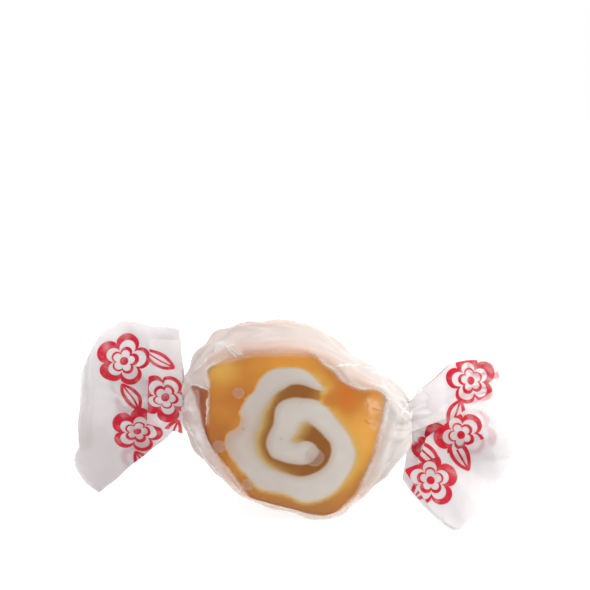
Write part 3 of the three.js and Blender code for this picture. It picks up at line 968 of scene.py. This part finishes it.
# %% Grids for the panels
PANELS = [
    {"side": -1, "lifts": (1.3, 2.0, 1.6, 1.1), "row": (2.3, 1.9, -97), "print": (-6.9, 6.9),
     "corners": [(4.9, -2.0), (0.2, -3.2), (-0.2, 10.1), (3.9, 9.9)]},
    {"side": 1, "lifts": (1.3, 0.9, 0.7, 0.6), "row": (40.0, 40.0, 0), "print": (0.0, 0.0),
     "corners": [(-0.5, -1.9), (4.7, 0.1), (5.1, 6.2), (0.6, 3.0)]},
    {"side": 1, "lifts": (0.8, 0.12, 0.5, 1.1), "row": (6.6, -2.0, -152), "print": (-3.8, 6.9),
     "corners": [(0.7, -5.6), (14.0, -5.0), (12.6, 4.9), (2.1, -2.3)]},
    {"side": 1, "lifts": (0.6, 0.15, 0.8, 1.0), "row": (2.3, -7.8, 40), "print": (-6.9, 6.9),
     "corners": [(4.6, -15.2), (12.6, -8.5), (9.7, -2.5), (-1.0, -6.4)]},
    {"side": -1, "lifts": (0.3, 0.15, 0.15, 0.4), "row": (40.0, 40.0, 0), "print": (0.0, 0.0),
     "corners": [(13.1, -6.3), (15.2, -6.2), (11.6, 10.0), (11.0, 9.4)]},
]
PANEL_STEPS = 28


def panel_grid(panel):
    """A bilinear patch between four corners, following its fan's ripples and inside its edge."""
    side = panel["side"]
    s, t = np.meshgrid(np.linspace(0, 1, PANEL_STEPS + 1), np.linspace(0, 1, PANEL_STEPS + 1))
    weights = np.stack([(1 - s) * (1 - t), s * (1 - t), s * t, (1 - s) * t], axis=2)
    flat_place = weights @ np.array(panel["corners"])
    angle = np.arctan2(flat_place[:, :, 1], flat_place[:, :, 0])
    low, opening = fan_span(side)
    across = np.clip(2 * (angle - low) / opening - 1, -1, 1)
    share = np.linalg.norm(flat_place, axis=2) / fan_reach(side, angle)
    flat_place = flat_place / np.maximum(share, 1)[:, :, None]
    share = np.minimum(share, 1)
    forward = FAN_MOUTH / 2 + ripple(share, across) + weights @ np.array(panel["lifts"])
    forward += 0.12 * np.sin(5 * s + 3 * t) * np.sin(math.pi * s)
    place = leaned(side, flat_place[:, :, 0], flat_place[:, :, 1], forward)
    return on_floor(place, PANEL_LIFT), flat_place, share


# %% Print layout
PRINT_ROWS = {
    (-1, True): (7.5, 6.4, -95),
    (-1, False): (6.9, 1.2, -95),
    (1, True): (8.7, 5.6, -117),
    (1, False): (8.2, -1.0, 75),
}
PRINT_PERIOD = 10.5
PRINT_LEAD = 3.7
INK_START = 0.1
ROW_CELLS, PANEL_CELL = 3, 20


def in_print(flat_place, row, cell):
    """Where a spot on a fan falls in the print: along its row, and off to the side, in millimetres."""
    x0, z0, degrees = row
    angle = math.radians(degrees)
    swing = np.array([[math.cos(angle), -math.sin(angle)], [math.sin(angle), math.cos(angle)]])
    return (flat_place - (x0, z0)) @ swing + ((cell + 0.5) * PRINT_PERIOD, 0)


def fan_plane(grid, side):
    """Out and rise of places on a fan, the other way round from leaned."""
    neck = np.array(FANS[side]["neck"])
    lean = math.radians(FANS[side]["lean"])
    away = grid - neck
    rise = away[..., 1] * math.sin(lean) + away[..., 2] * math.cos(lean)
    return np.stack([side * away[..., 0], rise], axis=-1)


print_place = np.full((*on_fan.shape, 2), -1.0)
inked = np.zeros(on_fan.shape)
for i, ((side, in_front), row) in enumerate(PRINT_ROWS.items()):
    where = np.ix_(along * side > 1, (np.cos(turn) >= 0) == in_front)
    print_place[where] = in_print(fan_plane(sheet[where], side), row, ROW_CELLS * i)
    first = (ROW_CELLS * i + 0.5) * PRINT_PERIOD - PRINT_LEAD
    inked[where] = smoothstep(np.abs(along[along * side > 1]) - 1, INK_START, INK_START + 0.05)[:, None]
    inked[where] *= print_place[where][:, :, 0] > first
print("print covers", round(float(inked.mean()), 2), "of the grid")


# %% Make the grids into one piece
def grid_piece(name, place, layout, looks):
    """A primitive grid whose points are moved to their places, with its print layout as its UV map."""
    rows_count, columns_count = place.shape[:2]
    bpy.ops.object.select_all(action="DESELECT")
    bpy.ops.mesh.primitive_grid_add(x_subdivisions=columns_count - 1, y_subdivisions=rows_count - 1, size=1)
    piece = bpy.context.object
    piece.name = name
    piece.data.vertices.foreach_set("co", placed(place.reshape(-1, 3)).ravel())
    corner_points = np.empty(len(piece.data.loops), int)
    piece.data.loops.foreach_get("vertex_index", corner_points)
    piece.data.uv_layers[0].name = "print"
    piece.data.uv_layers["print"].data.foreach_set("uv", layout.reshape(-1, 2)[corner_points].ravel())
    for key, values in looks.items():
        keep(piece, key, values.ravel())
    piece.data.update()
    return piece


looks = {
    "loose": loose, "ragged": ragged, "warm": warm, "window": window, "creases_and_painted_light": creases_and_painted_light,
    "seen_x": seen[:, :, 0], "seen_z": seen[:, :, 1], "seen_front": towards_camera * (1 - on_fan),
    "inked": inked, "fan": on_fan,
}
wrapper = grid_piece("paper_wrapper", sheet, print_place, looks)
for i, panel in enumerate(PANELS):
    place, flat_place, share = panel_grid(panel)
    cell = ROW_CELLS * i + PANEL_CELL
    layout = in_print(flat_place, panel["row"], cell)
    plain = {name: np.full(share.shape, float(name in ("loose", "fan"))) for name in looks}
    off_motif = layout[:, :, 0] - (cell + 0.5) * PRINT_PERIOD
    plain["inked"] = (off_motif > panel["print"][0]) & (off_motif < panel["print"][1])
    extra = grid_piece(f"panel_{i}", place, layout, plain)
    extra.select_set(True)
    wrapper.select_set(True)
    bpy.context.view_layer.objects.active = wrapper
    bpy.ops.object.join()

PAPER_THICKNESS = 0.05
apply(wrapper, "SOLIDIFY", thickness=PAPER_THICKNESS * MM, offset=0.0)
bpy.ops.object.shade_smooth_by_angle(angle=math.radians(55))
print("wrapper triangles", 2 * len(wrapper.data.polygons), [a.name for a in wrapper.data.attributes])

# %% [markdown]
# ## What the paper looks like
#
# The stored milkiness drives the paper's alpha. The edge of the clear part is ragged, and at the right and
# the upper left it has a pale rim, painted light over the shade that the milky paper casts on the caramel.
# Air bubbles with rings sit under the paper. Creases whiten, and creases and uneven hairlines catch the
# light as painted highlights. The hairlines use each point's stored place as the picture sees it. Crimson
# blossoms are printed along both ends of the sheet. They are drawn from circles and waves in its own
# layout, which stay sharp at any size.

# %% The crimson print
BLOSSOM_RADIUS = 3.0
LEAF_LENGTH, LEAF_WIDTH = 2.2, 0.95


def blossom_print(finish):
    """One where there is ink: a row of outlined blossoms with leaves between them."""
    u, v, _ = finish.split(finish.add("UVMap", {"uv_map": "print"}, []))
    cell = (u / PRINT_PERIOD).maths("FLOOR")
    x = u - (cell + 0.5) * PRINT_PERIOD
    spin = finish.add("TexWhiteNoise", {"noise_dimensions": "1D"}, {"W": cell + 0.25})
    reach = (x * x + v * v) ** 0.5
    angle = v.maths("ARCTAN2", x) + spin * 6.283
    lobe = (angle * 2.5).maths("COSINE").maths("ABSOLUTE")
    petal = BLOSSOM_RADIUS * (0.6 + 0.4 * lobe ** 0.6)
    pressure = 0.17 * (angle + 0.6).maths("COSINE")
    stroke = finish.step((reach - petal).maths("ABSOLUTE") - pressure, 0.52, 0.42)
    inner = finish.step((reach - 0.52 * petal).maths("ABSOLUTE") + 0.4 * pressure, 0.26, 0.15)
    heart = finish.step(reach, 0.6, 0.48)
    between = (u / PRINT_PERIOD).maths("ROUND")
    tilt = finish.add("TexWhiteNoise", {"noise_dimensions": "1D"}, {"W": between + 0.75}) * 6.283
    leaf_x = u - between * PRINT_PERIOD
    s = leaf_x * tilt.maths("COSINE") + v * tilt.maths("SINE")
    t = v * tilt.maths("COSINE") - leaf_x * tilt.maths("SINE")
    blade = LEAF_WIDTH * (1 - (s / LEAF_LENGTH) ** 2) - t.maths("ABSOLUTE")
    from_middle = s.maths("ABSOLUTE")
    leaf = finish.step(blade.maths("ABSOLUTE"), 0.34, 0.22)
    leaf = leaf * finish.step(from_middle, LEAF_LENGTH + 0.3, LEAF_LENGTH)
    rib = finish.step(t.maths("ABSOLUTE"), 0.2, 0.1)
    rib = rib * finish.step(from_middle, LEAF_LENGTH, LEAF_LENGTH - 0.4)
    ink = stroke.maths("MAXIMUM", inner).maths("MAXIMUM", heart)
    return ink.maths("MAXIMUM", leaf).maths("MAXIMUM", rib)


# %% Bubbles and hairlines
HAIRLINES = [
    ((-9.8, 23.4), (-7.2, 24.2)), ((-8.6, 24.3), (-6.2, 22.9)), ((-8.2, 24.0), (-7.0, 22.6)),
    ((4.9, 21.6), (8.6, 21.6)), ((6.6, 22.2), (10.6, 20.7)), ((11.6, 17.6), (10.3, 11.4)),
    ((13.8, 17.0), (12.3, 12.6)), ((12.9, 16.6), (14.1, 15.2)), ((-12.4, 19.5), (-10.4, 18.3)),
    ((-10.5, 18.6), (-10.9, 14.0)), ((-13.4, 14.6), (-11.1, 8.9)), ((-11.6, 9.9), (-7.6, 4.9)),
]
HAIRLINE_WIDTH = 0.32
BUBBLES = [((-6.9, 18.1), 0.65), ((-9.4, 11.0), 0.75), ((-5.9, 5.8), 0.7), ((2.4, 9.55), 1.15)]


def bubble_marks(finish, x, y, z):
    """One inside the bubbles of the front face, and one on their rings."""
    bubble, ring = 0.0, 0.0
    in_front = finish.step(y, 2.0, 0.5)
    for centre, radius in BUBBLES:
        near = ((x - centre[0]) ** 2 + (z - centre[1]) ** 2) ** 0.5
        bubble = finish.step(near, radius + 0.1, radius - 0.1) * in_front + bubble
        ring = finish.step((near - radius).maths("ABSOLUTE"), 0.14, 0.02) * in_front + ring
    return bubble, ring


def crease_and_highlight_marks(finish):
    """One on the creases, the painted rim light and the hairlines: whitening and painted highlights."""
    creases_and_highlights = finish.attribute("creases_and_painted_light")
    seen_x, seen_z = finish.attribute("seen_x"), finish.attribute("seen_z")
    for start, end in HAIRLINES:
        line = stroke_line(finish, seen_x, seen_z, start, end, HAIRLINE_WIDTH)
        creases_and_highlights = creases_and_highlights.maths("MAXIMUM", line * finish.attribute("seen_front") * 0.9)
    return creases_and_highlights


# %% Paper finish
CLEAR_ALPHA, MILKY_ALPHA, FAN_ALPHA, MOST_ALPHA = 0.01, 0.7, 0.52, 0.96


def paper_colour(finish, x, z, mottle):
    """Bare paper: warm over the slug, whiter at its right end and greyer on the fans; painted shade darkens
    the slug's paper to the left and the left fan low down.
    """
    body = finish.mix(mottle, tint(246, 230, 222), tint(250, 238, 232))
    # Painted shade: the paper over the slug is painted darker towards the left.
    body = finish.mix(finish.step(x, 2.0, -8.0) * 0.6, body, tint(244, 221, 215))
    body = finish.mix(finish.step(x, 8.5, 12.5) * 0.6, body, tint(250, 246, 244))
    fan = finish.mix(mottle, tint(244, 238, 240), tint(249, 245, 246))
    # Painted shade: the left fan is painted darker and greyer low down.
    painted_shade_low_left = finish.step(x, -16.0, -21.0) * finish.step(z, 16.0, 8.0)
    fan = finish.mix(painted_shade_low_left, fan, tint(218, 209, 210))
    colour = finish.mix(finish.attribute("fan"), body, fan)
    # The caramel's colour in the paper, and next to the lower right edge painted light over the paper's
    # shade.
    colour = finish.mix(finish.attribute("warm") * 0.85, colour, tint(252, 190, 136))
    # Painted shade: the window is painted the brown of the taffy's side, darkened as that side is in shade.
    return finish.mix(finish.attribute("window"), colour, tint(178, 98, 70))


def paper_finish():
    finish = Finish("waxed_paper_finish")
    x, y, z = finish.place_parts()
    fan_part = finish.attribute("fan")
    margin = finish.attribute("ragged")
    creases_and_highlights = crease_and_highlight_marks(finish)
    bubble, ring = bubble_marks(finish, x, y, z)
    cracks = finish.add("TexVoronoi", {"feature": "DISTANCE_TO_EDGE"}, {
        "Vector": finish.add("TexCoord", {}, [], output=3), "Scale": 1 / (3.4 * MM)})
    crack = finish.step(cracks, 0.035, 0.0) * finish.step(finish.noise(3.0), 0.5, 0.62)
    ink = blossom_print(finish) * finish.attribute("inked")
    ink = ink * finish.step(finish.noise(1.2, detail=4.0), 0.2, 0.55, 0.85, 1.0)
    tatter = finish.noise(0.8, detail=5.0, roughness=0.65) - 0.5
    veil = finish.attribute("loose") + 0.8 * margin * tatter
    alpha = finish.add("MapRange", {}, [veil, 0.0, 1.0, CLEAR_ALPHA, MILKY_ALPHA])
    alpha = alpha + (FAN_ALPHA - MILKY_ALPHA) * fan_part
    alpha = alpha - 0.3 * fan_part * finish.step(x, 20.0, 27.0)
    alpha = alpha + 0.3 * crack * margin + 0.4 * ink + 0.17 * bubble + 0.08 * ring + 0.3 * creases_and_highlights
    mottle = finish.step(finish.noise(2.5, detail=5.0), 0.3, 0.7)
    colour = paper_colour(finish, x, z, mottle)
    # Painted highlights: creases, hairlines and the rim are painted near-white; the creases also whiten as
    # real waxed paper does.
    colour = finish.mix(creases_and_highlights, colour, tint(252, 248, 247))
    colour = finish.mix(bubble, colour, tint(210, 186, 172))
    crimson = finish.mix(finish.noise(0.8), tint(208, 8, 34), tint(188, 2, 22))
    colour = finish.mix(ink, colour, crimson)
    crinkle = finish.noise(1.4, detail=6.0, roughness=0.6) + 0.5 * cracks
    bump = finish.add("Bump", {}, {"Strength": 0.3, "Distance": 0.12 * MM, "Height": crinkle})
    return finish.surface({
        "Base Color": colour, "Roughness": 0.3 + 0.2 * mottle, "Normal": bump,
        "Alpha": alpha.maths("MINIMUM", MOST_ALPHA), "Specular IOR Level": 0.25,
        "Subsurface Weight": 0.6, "Subsurface Radius": (1.0, 0.95, 0.95), "Subsurface Scale": 0.5 * MM,
    })


wrapper.data.materials.append(paper_finish())
print("paper finish made")

# %% [markdown]
# ## Hand the pieces over
#
# Each new piece stands for one of the imported solids, which is hidden, and moves with the one body that
# the sweet is.

# %% Ride and replace
for piece, node, slot in (
    (caramel, "caramel_taffy", "caramel"),
    (white, "white_swirl", "white"),
    (wrapper, "wrapper", "paper"),
):
    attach(piece, "root")
    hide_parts(node)
